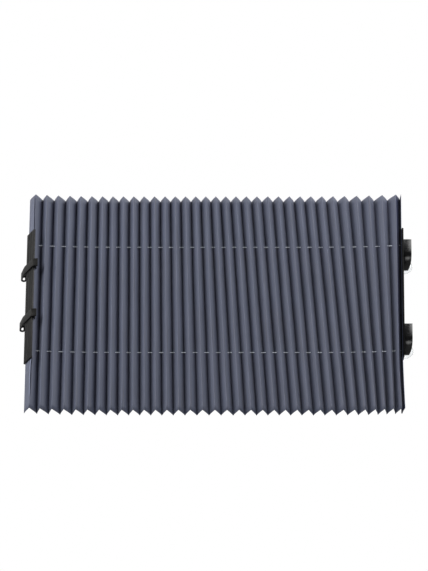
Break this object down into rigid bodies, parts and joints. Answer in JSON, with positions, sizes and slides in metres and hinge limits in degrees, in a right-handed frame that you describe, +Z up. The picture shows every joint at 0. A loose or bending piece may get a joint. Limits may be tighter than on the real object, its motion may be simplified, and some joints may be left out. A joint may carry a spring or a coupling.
{
  "type": "pleated car windscreen shade",
  "caption": "Accordion-pleated car sunshade drawn out flat between two black end rails, with hook clips on one rail and suction cups on the other.",
  "frame": {"origin": "centre of the part's box, on the surface that it lies on", "axes": "+X is the direction in which the shade is drawn out, from the hook rail to the cup rail; +Y runs along the pleats; +Z is up, from the cups to the pleats' crests"},
  "size_m": [0.965, 0.65, 0.0695],
  "materials": {
    "pleated_sheet": "matte blue-grey coated cloth with a soft sheen",
    "matte_black_plastic": "moulded, satin",
    "gloss_black_plastic": "moulded, glossy nose and finely textured shelf",
    "plain_steel": "plain",
    "draw_cord": "pale twisted thread",
    "clear_soft_plastic": "clear soft plastic"
  },
  "bodies": {
    "left_end": {"pleated_blind": "pleated_sheet", "left_rail": "matte_black_plastic", "left_clamp_strip": "matte_black_plastic", "left_rivet_1": "plain_steel", "left_rivet_2": "plain_steel", "left_rivet_3": "plain_steel", "left_rivet_4": "plain_steel", "left_upper_ferrule": "plain_steel", "left_lower_ferrule": "plain_steel", "upper_cord": "draw_cord", "lower_cord": "draw_cord"},
    "right_end": {"right_rail": "matte_black_plastic", "right_clamp_strip": "matte_black_plastic", "right_rivet_1": "plain_steel", "right_rivet_2": "plain_steel", "right_rivet_3": "plain_steel", "right_rivet_4": "plain_steel", "right_upper_ferrule": "plain_steel", "right_lower_ferrule": "plain_steel", "upper_cup_bracket": "gloss_black_plastic", "lower_cup_bracket": "gloss_black_plastic", "upper_bracket_screw_1": "plain_steel", "upper_bracket_screw_2": "plain_steel", "lower_bracket_screw_1": "plain_steel", "lower_bracket_screw_2": "plain_steel", "upper_suction_cup": "clear_soft_plastic", "lower_suction_cup": "clear_soft_plastic"},
    "upper_hook": {"upper_hook_clip": "matte_black_plastic"},
    "lower_hook": {"lower_hook_clip": "matte_black_plastic"}
  },
  "joints": [
    {"name": "blind_draw", "type": "slide", "parent": "left_end", "child": "right_end", "axis": [1, 0, 0], "range_m": [-0.87, 0], "deforming": ["pleated_blind", "upper_cord", "lower_cord"]},
    {"name": "upper_hook_slide", "type": "slide", "parent": "left_end", "child": "upper_hook", "axis": [0, 1, 0], "range_m": [-0.06, 0.088]},
    {"name": "lower_hook_slide", "type": "slide", "parent": "left_end", "child": "lower_hook", "axis": [0, 1, 0], "range_m": [-0.118, 0.06]}
  ]
}
